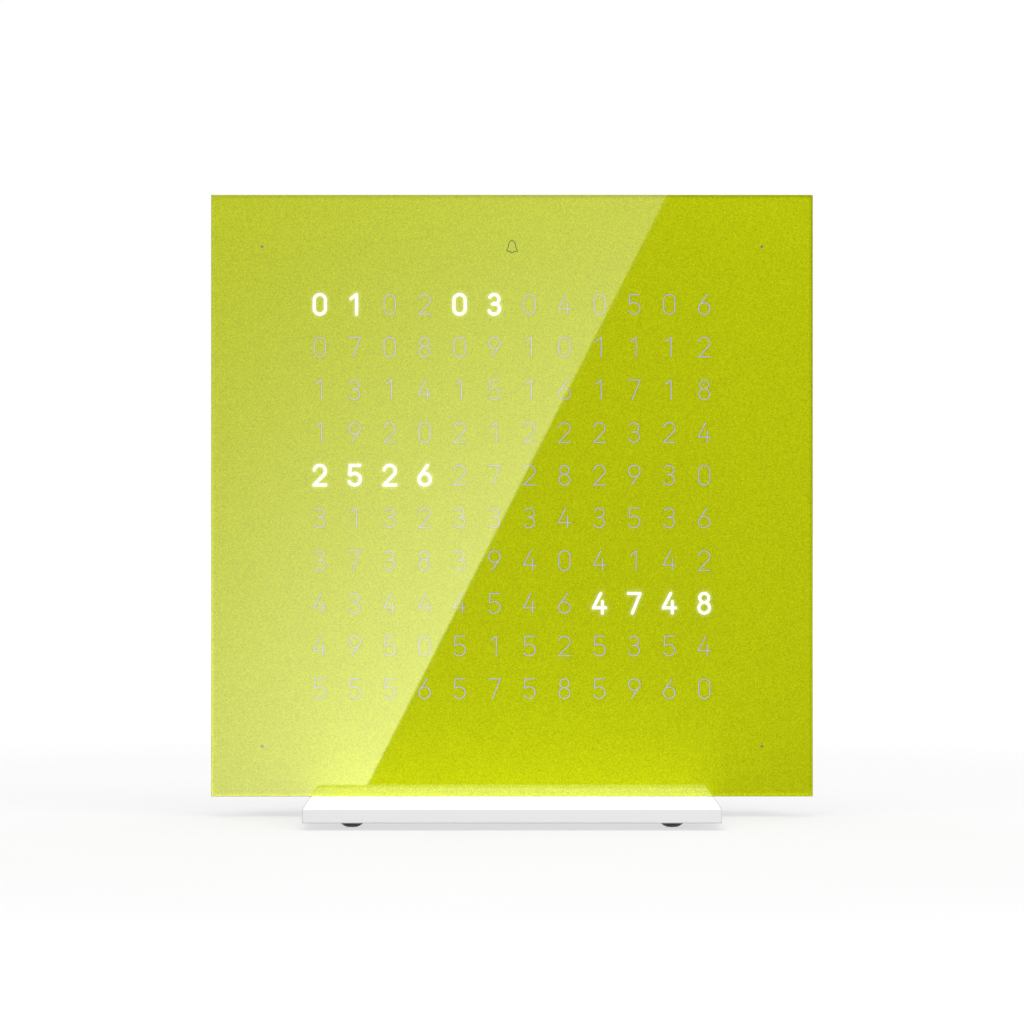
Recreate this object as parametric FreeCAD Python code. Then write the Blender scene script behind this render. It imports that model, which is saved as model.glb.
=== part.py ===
import FreeCAD, Part
import math
import os

V = FreeCAD.Vector
os.makedirs("parts", exist_ok=True)

# ---------------------------------------------------------------------------
# Desk clock that tells the time by lighting characters in a fixed grid.
# Millimetres. Origin: centre of the base on the surface it stands on.
# +Z up, the face looks along -Y, +X to the right as seen from the front.
# ---------------------------------------------------------------------------

# driving dimensions
COVER = 135.0          # side of the square front cover
COVER_T = 3.0          # thickness of its acrylic plate
COVER_EDGE = 0.12      # polished edge chamfer
PRINT_T = 0.15         # colour print on the back of the plate
FILM_T = 0.10          # translucent film behind the print
DEPTH = 18.0           # cover front to the back of the housing
BASE_W = 90.4          # base plate, left to right
BASE_D = 88.6          # base plate, front to back
BASE_T = 3.0
BASE_EDGE = 0.08
FOOT_H = 1.58          # height of the rubber feet
FOOT_R = 3.6           # radius of their dome
FOOT_FLAT = 1.2        # radius of their flat underside
FOOT_X = 34.85
FOOT_Y = 34.0
COVER_GAP = 0.02       # cover's lower edge above the base plate
HOUSING = 125.0        # side of the square housing
HOUSING_R = 3.0        # its corner radius
WALL = 2.0             # rear shell wall
FLANGE_T = 2.0         # flange of the front frame
PLUG = 120.6           # part of the front frame that enters the rear shell
GRID_COLS = 12         # light cells, left to right
GRID_ROWS = 10         # light cells, top to bottom
PITCH_X = 7.84
PITCH_Z = 9.58
GRID_DROP = 0.2        # the characters' block sits this much under the middle
CELL_DEPTH = 5.0
CELL_WALL = 0.8
DIFFUSER_T = 0.5
BOARD_T = 1.2
BOARD = 117.0          # side of the LED board
DIGIT_W = 3.7          # outline of one digit, stroke included
DIGIT_H = 4.77
STROKE = 0.36
DOT_POS = 56.05        # corner dots, from the middle of the characters' block
BELL_POS = 56.05       # bell symbol, from the middle of the face
DOT_R = 0.34
MAGNET_X = 54.0
MAGNET_Z = 38.0
SCREW_X = 54.0
SCREW_Z = 48.0
BUTTON_X = (-14.0, 0.0, 14.0)
BUTTON_Z = 44.0        # above the middle
BUTTON_R = 3.5
BUTTON_TRAVEL = 0.5
JACK_Z = -50.0
JACK_R = 4.0
JACK_BORE_R = 2.8
JACK_PIN_R = 1.0
CELL_X = -30.0         # coin cell, seen from the front
CELL_Z = -16.0
CELL_R = 10.0          # 20 mm cell, 3.2 mm thick
CELL_T = 3.2
NECK_W = 70.0
NECK_D = 8.0
NECK_Y = 3.9
NECK_SCREW_X = 25.0

# levels along Y, front to back
Y0 = -DEPTH / 2                       # face
Y_PRINT = Y0 + COVER_T                # back of the plate, front of the print
Y_FILM = Y_PRINT + PRINT_T
Y_BACK = Y_FILM + FILM_T              # back of the film
Y_FRAME = Y_BACK + 0.1                # front of the front frame
Y_SHELL = Y_FRAME + FLANGE_T          # front rim of the rear shell
Y_GRID = Y_FRAME + DIFFUSER_T
Y_BOARD = Y_GRID + CELL_DEPTH         # front of the LED board
Y_REAR = Y_BOARD + BOARD_T            # back of the LED board
Y_OUT = DEPTH / 2                     # back of the housing
Y_IN = Y_OUT - WALL                   # inside of its rear wall

# levels along Z
Z_PLATE = FOOT_H                      # underside of the base plate
Z_TOP = Z_PLATE + BASE_T              # its top
Z_LOW = Z_TOP + COVER_GAP             # cover's lower edge
ZC = Z_LOW + COVER / 2                # middle of the face
ZG = ZC - GRID_DROP                   # middle of the characters' block
HH = HOUSING / 2


# ---------------------------------------------------------------------------
# helpers
# ---------------------------------------------------------------------------
def box(x0, x1, y0, y1, z0, z1):
    return Part.makeBox(x1 - x0, y1 - y0, z1 - z0, V(x0, y0, z0))


def cyl_y(x, z, r, y0, y1):
    return Part.makeCylinder(r, y1 - y0, V(x, y0, z), V(0, 1, 0))


def cyl_z(x, y, r, z0, z1):
    return Part.makeCylinder(r, z1 - z0, V(x, y, z0), V(0, 0, 1))


def edges_along(shape, axis, test=None):
    """Straight edges parallel to an axis, filtered by a test on their middle."""
    found = []
    for e in shape.Edges:
        if not isinstance(e.Curve, Part.Line):
            continue
        d = e.Vertexes[0].Point.sub(e.Vertexes[-1].Point)
        if d.Length < 1e-6:
            continue
        d.normalize()
        if abs(abs(d.dot(axis)) - 1) < 1e-6 and (test is None or test(e.CenterOfMass)):
            found.append(e)
    return found


def rounded_block(x0, x1, y0, y1, z0, z1, r):
    """Block whose four edges along Y are rounded."""
    b = box(x0, x1, y0, y1, z0, z1)
    return b.makeFillet(r, edges_along(b, V(0, 1, 0)))


def group(solids):
    return Part.makeCompound(list(solids))


def fuse(shapes):
    s = shapes[0].multiFuse(shapes[1:]) if len(shapes) > 1 else shapes[0]
    return s.removeSplitter()


def cut(shape, tools):
    return shape.cut(group(tools)) if tools else shape


def save(name, shape):
    solids = shape.Solids
    if not solids:
        raise ValueError(name + " has no solid")
    out = solids[0] if len(solids) == 1 else group(solids)
    for s in solids:
        if not s.isValid() or s.Volume <= 0:
            raise ValueError(name + " has a bad solid")
    out.exportStep("parts/" + name + ".step")
    b = out.BoundBox
    print("%-20s %4d solids %9.1f mm3  x %7.2f %7.2f  y %7.2f %7.2f  z %7.2f %7.2f" % (
        name, len(solids), sum(s.Volume for s in solids), b.XMin, b.XMax, b.YMin, b.YMax, b.ZMin, b.ZMax))


# ---------------------------------------------------------------------------
# digits: strokes with round ends, drawn about their own middle in X and Z
# ("L", x0, z0, x1, z1) is a line, ("A", cx, cz, r, from, to) an arc in degrees
# ---------------------------------------------------------------------------
H2 = 2.45                               # half height of a digit's centre line, before it is scaled to DIGIT_H
DIGITS = {
    "0": [("A", 0, H2 - 1.4, 1.4, 0, 180), ("A", 0, 1.4 - H2, 1.4, 180, 360),
          ("L", -1.4, 1.4 - H2, -1.4, H2 - 1.4), ("L", 1.4, 1.4 - H2, 1.4, H2 - 1.4)],
    "1": [("L", 0.45, -H2, 0.45, H2), ("L", 0.45, H2, -0.95, H2 - 1.05)],
    "2": [("A", 0, H2 - 1.4, 1.4, -38, 170), ("L", 1.103, H2 - 2.262, -1.45, -H2), ("L", -1.45, -H2, 1.5, -H2)],
    "3": [("A", -0.1, H2 - 1.2, 1.2, -90, 155), ("A", -0.1, 1.35 - H2, 1.35, -160, 90),
          ("L", -0.1, H2 - 2.4, -0.5, H2 - 2.4)],
    "4": [("L", 0.35, H2, -1.5, -1.15), ("L", -1.5, -1.15, 1.55, -1.15), ("L", 0.75, 0.45, 0.75, -H2)],
    "5": [("L", 1.25, H2, -1.1, H2), ("L", -1.1, H2, -1.27, 0.2), ("A", -0.05, 1.45 - H2, 1.45, -155, 132)],
    "6": [("A", 0, 1.42 - H2, 1.42, 0, 180), ("A", 0, 1.42 - H2, 1.42, 180, 360), ("L", -1.28, 2.03 - H2, 0.7, H2)],
    "7": [("L", -1.45, H2, 1.45, H2), ("L", 1.45, H2, -0.5, -H2)],
    "8": [("A", 0, H2 - 1.12, 1.12, 0, 180), ("A", 0, H2 - 1.12, 1.12, 180, 360),
          ("A", 0, 1.33 - H2, 1.33, 0, 180), ("A", 0, 1.33 - H2, 1.33, 180, 360)],
    "9": [("A", 0, H2 - 1.42, 1.42, 0, 180), ("A", 0, H2 - 1.42, 1.42, 180, 360), ("L", 1.28, H2 - 2.03, -0.7, -H2)],
}
BELL = [t for k in (-1, 1) for t in (
    ("L", 0, 1.3, k * 0.5, 0.88), ("L", k * 0.5, 0.88, k * 0.76, 0.4), ("L", k * 0.76, 0.4, k * 0.82, -0.25),
    ("L", k * 0.82, -0.25, k * 1.2, -1.04), ("L", k * 1.2, -1.04, k * 1.08, -1.26), ("L", k * 1.08, -1.26, k * 0.4, -1.26))]
BELL += [("A", 0, -1.19, 0.4, 190, 350)]
BELL_STROKE = 0.21


def scaled(strokes):
    """A digit at its final size."""
    k = (DIGIT_H - STROKE) / 2 / H2
    return [("L", *(v * k for v in t[1:])) if t[0] == "L" else ("A", *(v * k for v in t[1:4]), *t[4:]) for t in strokes]


def stroke_face(s, w, y):
    """Flat face of one stroke of width w in the plane at y."""
    h = w / 2

    def p(cx, cz, r, a):
        return V(cx + r * math.cos(math.radians(a)), y, cz + r * math.sin(math.radians(a)))

    if s[0] == "L":
        x0, z0, x1, z1 = s[1:]
        a = math.degrees(math.atan2(z1 - z0, x1 - x0))
        q = [p(x0, z0, h, a + 90), p(x0, z0, h, a + 180), p(x0, z0, h, a + 270),
             p(x1, z1, h, a - 90), p(x1, z1, h, a), p(x1, z1, h, a + 90)]
        edges = [Part.Arc(q[0], q[1], q[2]).toShape(), Part.LineSegment(q[2], q[3]).toShape(),
                 Part.Arc(q[3], q[4], q[5]).toShape(), Part.LineSegment(q[5], q[0]).toShape()]
        return Part.Face(Part.Wire(edges))
    cx, cz, r, a0, a1 = s[1:]
    am = (a0 + a1) / 2
    e0 = p(cx, cz, r, a0)
    e1 = p(cx, cz, r, a1)
    edges = [Part.Arc(p(cx, cz, r + h, a0), p(cx, cz, r + h, am), p(cx, cz, r + h, a1)).toShape(),
             Part.Arc(p(cx, cz, r + h, a1), p(e1.x, e1.z, h, a1 + 90), p(cx, cz, r - h, a1)).toShape(),
             Part.Arc(p(cx, cz, r - h, a1), p(cx, cz, r - h, am), p(cx, cz, r - h, a0)).toShape(),
             Part.Arc(p(cx, cz, r - h, a0), p(e0.x, e0.z, h, a0 - 90), p(cx, cz, r + h, a0)).toShape()]
    return Part.Face(Part.Wire(edges))


def glyph_wires(strokes, w):
    """Outer wire and inner wires (the closed counters) of a stroked sign, at y = 0."""
    face = fuse([stroke_face(s, w, 0.0) for s in strokes])
    faces = face.Faces
    outers, inners = [], []
    for f in faces:
        outers.append(f.OuterWire)
        inners += [k for k in f.Wires if not k.isSame(f.OuterWire)]
    return outers, inners


def moved(wire, x, y, z):
    c = wire.copy()
    c.translate(V(x, y, z))
    return c


# ---------------------------------------------------------------------------
# front cover: plate, print, film, strike discs
# ---------------------------------------------------------------------------
plate = box(-COVER / 2, COVER / 2, Y0, Y_PRINT, Z_LOW, Z_LOW + COVER)
plate = plate.makeChamfer(COVER_EDGE, plate.Edges)
save("cover_plate", plate)

glyphs = {k: glyph_wires(scaled(v), STROKE) for k, v in DIGITS.items()}
bell = glyph_wires(BELL, BELL_STROKE)
half = COVER / 2 - COVER_EDGE
rect = Part.makePolygon([V(-half, Y_PRINT, ZC - half), V(half, Y_PRINT, ZC - half), V(half, Y_PRINT, ZC + half),
                         V(-half, Y_PRINT, ZC + half), V(-half, Y_PRINT, ZC - half)])
holes, islands = [], []


def place(wires, x, z):
    outs, ins = wires
    holes.extend(moved(k, x, Y_PRINT, z) for k in outs)
    islands.extend(moved(k, x, Y_PRINT, z) for k in ins)


for row in range(GRID_ROWS):
    z = ZG + (4.5 - row) * PITCH_Z
    for k in range(6):
        text = "%02d" % (row * 6 + k + 1)
        for j in (0, 1):
            col = 2 * k + j
            place(glyphs[text[j]], (col - 5.5) * PITCH_X, z)
place(bell, 0.0, ZC + BELL_POS)
for sx in (-1, 1):
    for sz in (-1, 1):
        dot = Part.Circle(V(sx * DOT_POS, Y_PRINT, ZG + sz * DOT_POS), V(0, -1, 0), DOT_R)
        holes.append(Part.Wire([dot.toShape()]))


def sheet_with(outer, inner):
    """Flat face with openings."""
    return Part.makeFace([outer] + inner, "Part::FaceMakerBullseye")


print_sheet = sheet_with(rect, holes).extrude(V(0, PRINT_T, 0))
pieces = [print_sheet] + [Part.Face(k).extrude(V(0, PRINT_T, 0)) for k in islands]
save("cover_print", group([s for p in pieces for s in p.Solids]))
save("window_film", box(-half, half, Y_FILM, Y_BACK, ZC - half, ZC + half))
corners = [(sx * MAGNET_X, ZC + sz * MAGNET_Z) for sx in (-1, 1) for sz in (-1, 1)]
save("strike_discs", group([cyl_y(x, z, 5.0, Y_BACK, Y_BACK + 0.8) for x, z in corners]))

# ---------------------------------------------------------------------------
# front frame: flange, plug, optics opening, pockets, pipes, screw holes
# ---------------------------------------------------------------------------
gw = GRID_COLS * PITCH_X + CELL_WALL          # light grid, outside
gh = GRID_ROWS * PITCH_Z + CELL_WALL
frame = fuse([rounded_block(-HH, HH, Y_FRAME, Y_SHELL, ZC - HH, ZC + HH, HOUSING_R),
              rounded_block(-PLUG / 2, PLUG / 2, Y_SHELL - 0.5, Y_BOARD, ZC - PLUG / 2, ZC + PLUG / 2, 1.5)])
tools = [box(-gw / 2 - 0.2, gw / 2 + 0.2, Y_FRAME - 1, Y_BOARD + 1, ZG - gh / 2 - 0.2, ZG + gh / 2 + 0.2)]
for x, z in corners:
    tools.append(cyl_y(x, z, 5.5, Y_FRAME - 1, Y_FRAME + 0.9))
    tools.append(cyl_y(x, z, 4.05, Y_FRAME - 1, Y_FRAME + 3.9))
pipes = []
for sx in (-1, 1):
    for sz in (-1, 1):
        pipes.append((sx * DOT_POS, ZG + sz * DOT_POS, 1.5))
pipes.append((0.0, ZC + BELL_POS, 2.0))
for x, z, r in pipes:
    tools.append(cyl_y(x, z, r + 0.05, Y_FRAME - 1, Y_BOARD + 1))
housing_screw_at = [(sx * SCREW_X, ZC + sz * SCREW_Z) for sx in (-1, 1) for sz in (-1, 1)]
board_screw_at = [(sx * 54.0, ZC) for sx in (-1, 1)] + [(sx * 38.0, ZC + sz * 55.0) for sx in (-1, 1) for sz in (-1, 1)]
for x, z in housing_screw_at:
    tools.append(cyl_y(x, z, 1.27, Y_BOARD - 4.0, Y_BOARD + 1))
for x, z in board_screw_at:
    tools.append(cyl_y(x, z, 1.02, Y_BOARD - 4.0, Y_BOARD + 1))
frame = cut(frame, tools)
save("front_frame", frame)
save("magnets", group([cyl_y(x, z, 4.0, Y_FRAME + 0.9, Y_FRAME + 3.9) for x, z in corners]))
save("light_pipes", group([cyl_y(x, z, r, Y_FRAME, Y_BOARD - 1.0) for x, z, r in pipes]))
save("diffuser_sheet", box(-gw / 2, gw / 2, Y_FRAME, Y_GRID, ZG - gh / 2, ZG + gh / 2))

grid = box(-gw / 2, gw / 2, Y_GRID, Y_BOARD, ZG - gh / 2, ZG + gh / 2)
cells = []
for row in range(GRID_ROWS):
    for col in range(GRID_COLS):
        x = (col - 5.5) * PITCH_X
        z = ZG + (4.5 - row) * PITCH_Z
        cells.append(box(x - PITCH_X / 2 + CELL_WALL / 2, x + PITCH_X / 2 - CELL_WALL / 2, Y_GRID - 1, Y_BOARD + 1,
                         z - PITCH_Z / 2 + CELL_WALL / 2, z + PITCH_Z / 2 - CELL_WALL / 2))
save("light_grid", cut(grid, cells))

# ---------------------------------------------------------------------------
# LED board and what is soldered on it
# ---------------------------------------------------------------------------
bh = BOARD / 2
board = rounded_block(-bh, bh, Y_BOARD, Y_REAR, ZC - bh, ZC + bh, 1.5)
tools = [cyl_y(x, z, 3.8, Y_BOARD - 1, Y_REAR + 1) for x, z in housing_screw_at]
tools += [cyl_y(x, z, 1.1, Y_BOARD - 1, Y_REAR + 1) for x, z in board_screw_at]
tools += [box(sx * NECK_SCREW_X - 4.2, sx * NECK_SCREW_X + 4.2, Y_BOARD - 1, Y_REAR + 1, ZC - bh - 1, ZC - bh + 5.5)
          for sx in (-1, 1)]
board = cut(board, tools)
save("led_board", board)

leds = []
for row in range(GRID_ROWS):
    for col in range(GRID_COLS):
        x = (col - 5.5) * PITCH_X
        z = ZG + (4.5 - row) * PITCH_Z
        leds.append(box(x - 1.0, x + 1.0, Y_BOARD - 0.8, Y_BOARD, z - 0.8, z + 0.8))
for x, z, r in pipes:
    leds.append(box(x - 0.8, x + 0.8, Y_BOARD - 0.8, Y_BOARD, z - 0.6, z + 0.6))
save("leds", group(leds))


def chip(x, z, w, h, t, pins_x, pins_z, pitch=1.27):
    """Moulded package on the board's back, with its legs."""
    parts = [box(x - w / 2, x + w / 2, Y_REAR + 0.1, Y_REAR + t, z - h / 2, z + h / 2)]
    for i in range(pins_x):
        px = x + (i - (pins_x - 1) / 2) * pitch
        for s in (-1, 1):
            zz = sorted((z + s * h / 2 - s * 0.2, z + s * (h / 2 + 1.0)))
            parts.append(box(px - 0.2, px + 0.2, Y_REAR, Y_REAR + 0.35, zz[0], zz[1]))
    for i in range(pins_z):
        pz = z + (i - (pins_z - 1) / 2) * pitch
        for s in (-1, 1):
            xx = sorted((x + s * w / 2 - s * 0.2, x + s * (w / 2 + 1.0)))
            parts.append(box(xx[0], xx[1], Y_REAR, Y_REAR + 0.35, pz - 0.2, pz + 0.2))
    return fuse(parts)


save("microcontroller", chip(0.0, ZC + 8.0, 10.0, 10.0, 1.5, 10, 10, 0.8))
save("led_drivers", group([chip(sx * 24.0, ZC + 8.0, 7.5, 15.0, 2.0, 0, 11) for sx in (-1, 1)]))
save("clock_crystal", rounded_block(7.0, 12.0, Y_REAR, Y_REAR + 1.2, ZC - 4.0, ZC - 0.8, 0.6))
save("capacitors", group([cyl_y(x, ZC - 38.0, 2.5, Y_REAR, Y_REAR + 4.8) for x in (9.0, 16.0, 23.0)]))
reg = [box(-17.5, -11.0, Y_REAR + 0.1, Y_REAR + 1.7, ZC - 44.0, ZC - 40.5),
       box(-15.9, -12.6, Y_REAR, Y_REAR + 0.35, ZC - 40.7, ZC - 38.8)]
reg += [box(px - 0.35, px + 0.35, Y_REAR, Y_REAR + 0.35, ZC - 45.6, ZC - 43.8) for px in (-16.55, -14.25, -11.95)]
save("voltage_regulator", fuse(reg))
BUZZ_X, BUZZ_Z = 32.0, ZC + 34.0
buzzer = cyl_y(BUZZ_X, BUZZ_Z, 6.0, Y_REAR, Y_REAR + 5.0)
buzzer = buzzer.cut(cyl_y(BUZZ_X, BUZZ_Z, 1.0, Y_REAR + 4.0, Y_REAR + 6.0))
save("buzzer", buzzer)

# coin cell in its holder, with a sprung strip over its rim
cx, cz = CELL_X, ZC + CELL_Z
holder = cyl_y(cx, cz, 11.6, Y_REAR, Y_REAR + 4.4)
holder = fuse([holder, box(cx - 14.0, cx + 14.0, Y_REAR, Y_REAR + 1.0, cz - 3.0, cz + 3.0)])
holder = cut(holder, [cyl_y(cx, cz, CELL_R + 0.15, Y_REAR + 0.7, Y_REAR + 6),
                      box(cx - 2.6, cx + 2.6, Y_REAR + 0.7, Y_REAR + 6, cz + 8.0, cz + 13.0)])
save("coin_cell_holder", holder)
cell = cyl_y(cx, cz, CELL_R, Y_REAR + 0.8, Y_REAR + 0.8 + CELL_T)
save("coin_cell", cell.makeFillet(0.3, [e for e in cell.Edges if e.Length > 40]))
yc = Y_REAR + 0.8 + CELL_T
contact = fuse([box(cx - 2.0, cx + 2.0, Y_REAR, Y_REAR + 0.3, cz + 12.2, cz + 15.0),
                box(cx - 2.0, cx + 2.0, Y_REAR, yc + 0.5, cz + 12.2, cz + 12.5),
                box(cx - 2.0, cx + 2.0, yc + 0.2, yc + 0.5, cz + 5.0, cz + 12.5)])
save("cell_contact", contact)

# ---------------------------------------------------------------------------
# three switches with their plungers, and the buttons over them
# ---------------------------------------------------------------------------
zb = ZC + BUTTON_Z
bodies = []
for x in BUTTON_X:
    b = box(x - 3.0, x + 3.0, Y_REAR, Y_REAR + 3.5, zb - 3.0, zb + 3.0)
    b = b.makeChamfer(0.3, edges_along(b, V(0, 1, 0)))
    legs = [box(x + sx * 3.7 - 0.9, x + sx * 3.7 + 0.9, Y_REAR, Y_REAR + 0.3, zb + sz * 2.2 - 0.35, zb + sz * 2.2 + 0.35)
            for sx in (-1, 1) for sz in (-1, 1)]
    b = fuse([b] + legs).cut(cyl_y(x, zb, 1.8, Y_REAR + 1.2, Y_REAR + 4))
    bodies.append(b)
save("switch_bodies", group(bodies))
Y_PAD = Y_IN - 1.05                   # where the plunger meets the button
for name, x in zip(("mode", "minus", "plus"), BUTTON_X):
    save(name + "_plunger", cyl_y(x, zb, 1.75, Y_REAR + 1.9, Y_PAD))
    flange = cyl_y(x, zb, 4.5, Y_PAD, Y_IN - 0.05)
    cap = cyl_y(x, zb, BUTTON_R, Y_PAD + 0.5, Y_OUT + 0.9)
    cap = cap.makeFillet(0.35, [e for e in cap.Edges if abs(e.CenterOfMass.y - Y_OUT - 0.9) < 1e-6])
    marks = []
    if name in ("minus", "plus"):
        marks.append(box(x - 1.3, x + 1.3, Y_OUT + 0.7, Y_OUT + 1.05, zb - 0.25, zb + 0.25))
    if name == "plus":
        marks.append(box(x - 0.25, x + 0.25, Y_OUT + 0.7, Y_OUT + 1.05, zb - 1.3, zb + 1.3))
    if name == "mode":
        marks.append(cyl_y(x, zb, 1.3, Y_OUT + 0.7, Y_OUT + 1.05).cut(cyl_y(x, zb, 0.8, Y_OUT, Y_OUT + 2)))
    save(name + "_button", fuse([flange, cap] + marks))

# ---------------------------------------------------------------------------
# power socket: sleeve with a blind bore and a centre pin
# ---------------------------------------------------------------------------
zj = ZC + JACK_Z
jack = fuse([box(-4.5, 4.5, Y_REAR, Y_REAR + 4.0, zj - 4.5, zj + 4.5), cyl_y(0, zj, JACK_R, Y_REAR, Y_OUT)])
jack = cut(jack, [cyl_y(0, zj, JACK_BORE_R, Y_REAR + 1.2, Y_OUT + 1)])
rim = [e for e in jack.Edges if abs(e.CenterOfMass.y - Y_OUT) < 1e-6 and abs(e.Length - 2 * math.pi * JACK_BORE_R) < 1e-3]
jack = jack.makeChamfer(0.3, rim)
save("dc_jack", jack)
pin = cyl_y(0, zj, JACK_PIN_R, Y_REAR + 1.2, Y_OUT - 0.6)
pin = pin.makeFillet(0.4, [e for e in pin.Edges if abs(e.CenterOfMass.y - Y_OUT + 0.6) < 1e-6])
save("dc_jack_pin", pin)

# ---------------------------------------------------------------------------
# rear shell
# ---------------------------------------------------------------------------
shell = rounded_block(-HH, HH, Y_SHELL, Y_OUT, ZC - HH, ZC + HH, HOUSING_R)
back_edges = [e for e in shell.Edges if abs(e.CenterOfMass.y - Y_OUT) < 1e-6]
shell = shell.makeFillet(1.2, back_edges)
inner = HH - WALL
shell = shell.cut(rounded_block(-inner, inner, Y_SHELL - 1, Y_IN, ZC - inner, ZC + inner, HOUSING_R - WALL))
adds = [cyl_y(x, z, 3.5, Y_BOARD, Y_IN + 0.5) for x, z in housing_screw_at]
Z_IN = ZC - inner                     # inside of the lower wall
for sx in (-1, 1):
    adds.append(cyl_z(sx * NECK_SCREW_X, NECK_Y, 3.2, Z_IN - 0.5, Z_IN + 4.5))
adds.append(rounded_block(CELL_X - 14.6, CELL_X + 14.6, Y_IN - 1.0, Y_IN + 0.5, cz - 14.6, cz + 14.6, 1.5))
shell = fuse([shell] + adds)
tools = []
for x, z in housing_screw_at:
    tools.append(cyl_y(x, z, 1.35, Y_BOARD - 1, Y_OUT + 1))
    tools.append(cyl_y(x, z, 2.5, Y_OUT - 2.6, Y_OUT + 1))
for sx in (-1, 1):
    tools.append(cyl_z(sx * NECK_SCREW_X, NECK_Y, 2.1, ZC - HH - 1, Z_IN + 4.0))
for x in BUTTON_X:
    tools.append(cyl_y(x, zb, BUTTON_R + 0.15, Y_IN - 1, Y_OUT + 1))
tools.append(cyl_y(0, zj, JACK_R + 0.15, Y_IN - 1, Y_OUT + 1))
tools.append(rounded_block(-7.0, 7.0, Y_OUT - 0.6, Y_OUT + 1, zj - 7.0, zj + 7.0, 2.0))
for i in range(6):
    a = math.radians(60 * i)
    tools.append(cyl_y(BUZZ_X + 3.4 * math.cos(a), BUZZ_Z + 3.4 * math.sin(a), 0.7, Y_IN - 1, Y_OUT + 1))
tools.append(cyl_y(BUZZ_X, BUZZ_Z, 0.7, Y_IN - 1, Y_OUT + 1))
# battery opening: a through opening inside a shallow seat for the door
tools.append(rounded_block(CELL_X - 11.2, CELL_X + 11.2, Y_IN - 2, Y_OUT + 1, cz - 11.2, cz + 11.2, 1.2))
tools.append(rounded_block(CELL_X - 13.5, CELL_X + 13.5, Y_OUT - 1.4, Y_OUT + 1, cz - 13.5, cz + 13.5, 1.5))
shell = cut(shell, tools)
save("rear_shell", shell)

door = fuse([rounded_block(CELL_X - 13.3, CELL_X + 13.3, Y_OUT - 1.35, Y_OUT, cz - 13.3, cz + 13.3, 1.3),
             rounded_block(CELL_X - 11.0, CELL_X + 11.0, Y_IN - 0.6, Y_OUT - 1.0, cz - 11.0, cz + 11.0, 1.0)])
door = cut(door, [Part.makeCylinder(3.0, 12.0, V(CELL_X - 6.0, Y_OUT + 2.2, cz + 9.6), V(1, 0, 0))])
save("battery_door", door)

# ---------------------------------------------------------------------------
# screws
# ---------------------------------------------------------------------------


def pan_screw(x, z, head_r, head_h, shaft_r, y_head, y_tip):
    """Pan-head screw driven from the back: its head's underside is at y_head."""
    head = cyl_y(x, z, head_r, y_head, y_head + head_h)
    head = head.makeFillet(head_h * 0.45, [e for e in head.Edges if abs(e.CenterOfMass.y - y_head - head_h) < 1e-6])
    s = fuse([head, cyl_y(x, z, shaft_r, y_tip, y_head + 0.2)])
    d = head_h * 0.6
    w = head_r * 0.22
    return cut(s, [box(x - head_r * 0.6, x + head_r * 0.6, y_head + head_h - d, y_head + head_h + 1, z - w, z + w),
                   box(x - w, x + w, y_head + head_h - d, y_head + head_h + 1, z - head_r * 0.6, z + head_r * 0.6)])


save("housing_screws", group([pan_screw(x, z, 2.25, 1.6, 1.25, Y_OUT - 2.6, Y_BOARD - 3.8) for x, z in housing_screw_at]))
save("board_screws", group([pan_screw(x, z, 1.9, 1.2, 1.0, Y_REAR, Y_BOARD - 3.8) for x, z in board_screw_at]))

# ---------------------------------------------------------------------------
# touch pad under the top wall and its sprung contact
# ---------------------------------------------------------------------------
z_top_in = ZC + inner
save("touch_electrode", box(-40.0, 40.0, Y_REAR + 0.6, Y_IN - 0.6, z_top_in - 0.15, z_top_in))
spring = fuse([box(-2.0, 2.0, Y_REAR, Y_REAR + 0.25, ZC + bh - 5.0, ZC + bh - 1.0),
               box(-2.0, 2.0, Y_REAR, Y_REAR + 2.6, ZC + bh - 1.25, ZC + bh - 1.0),
               box(-2.0, 2.0, Y_REAR + 2.35, Y_REAR + 2.6, ZC + bh - 1.25, z_top_in - 0.15)])
save("touch_contact", spring)

# ---------------------------------------------------------------------------
# stand: neck, base plate, screws, inserts, feet
# ---------------------------------------------------------------------------
Z_HOUSING = ZC - HH
neck = box(-NECK_W / 2, NECK_W / 2, NECK_Y - NECK_D / 2, NECK_Y + NECK_D / 2, Z_TOP, Z_HOUSING)
neck = neck.makeFillet(2.0, edges_along(neck, V(0, 0, 1)))
neck = cut(neck, [cyl_z(sx * NECK_SCREW_X, NECK_Y, 1.65, Z_TOP - 1, Z_HOUSING + 1) for sx in (-1, 1)])
save("stand_neck", neck)

base = box(-BASE_W / 2, BASE_W / 2, -BASE_D / 2, BASE_D / 2, Z_PLATE, Z_TOP)
base = base.makeChamfer(BASE_EDGE, base.Edges)
tools = []
HEAD = 1.7
for sx in (-1, 1):
    tools.append(cyl_z(sx * NECK_SCREW_X, NECK_Y, 1.65, Z_PLATE - 1, Z_TOP + 1))
    tools.append(Part.makeCone(3.15, 1.6, HEAD - 0.1, V(sx * NECK_SCREW_X, NECK_Y, Z_PLATE - 0.001), V(0, 0, 1)))
base = cut(base, tools)
save("base_plate", base)

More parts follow.
